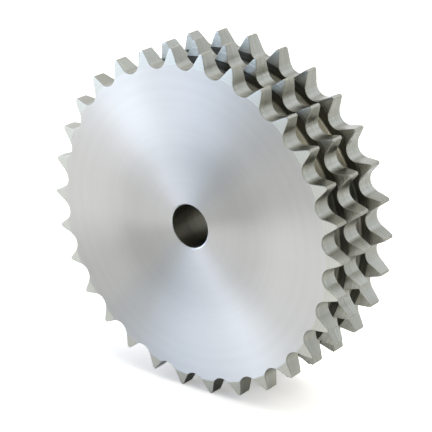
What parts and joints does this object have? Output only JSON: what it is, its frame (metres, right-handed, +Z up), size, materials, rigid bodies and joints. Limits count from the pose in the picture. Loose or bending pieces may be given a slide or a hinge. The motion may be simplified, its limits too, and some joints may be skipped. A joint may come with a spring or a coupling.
{
  "type": "chain sprocket",
  "caption": "Triple-row roller-chain sprocket: a flat steel plate wheel with three toothed rims, two turned grooves between them and a plain central pilot bore.",
  "frame": {"origin": "centre of the bore, halfway between the two faces", "axes": "+Y along the bore axis, from the front face to the back face; +Z up, with a tooth gap lowest, so the wheel stands on the two teeth beside it"},
  "size_m": [0.1904, 0.0498, 0.1896],
  "materials": {
    "turned_steel": "bare carbon steel, fine-turned satin faces with concentric tool marks, hobbed tooth gaps, dark turned grooves"
  },
  "bodies": {
    "root": {"sprocket": "turned_steel"}
  },
  "joints": []
}
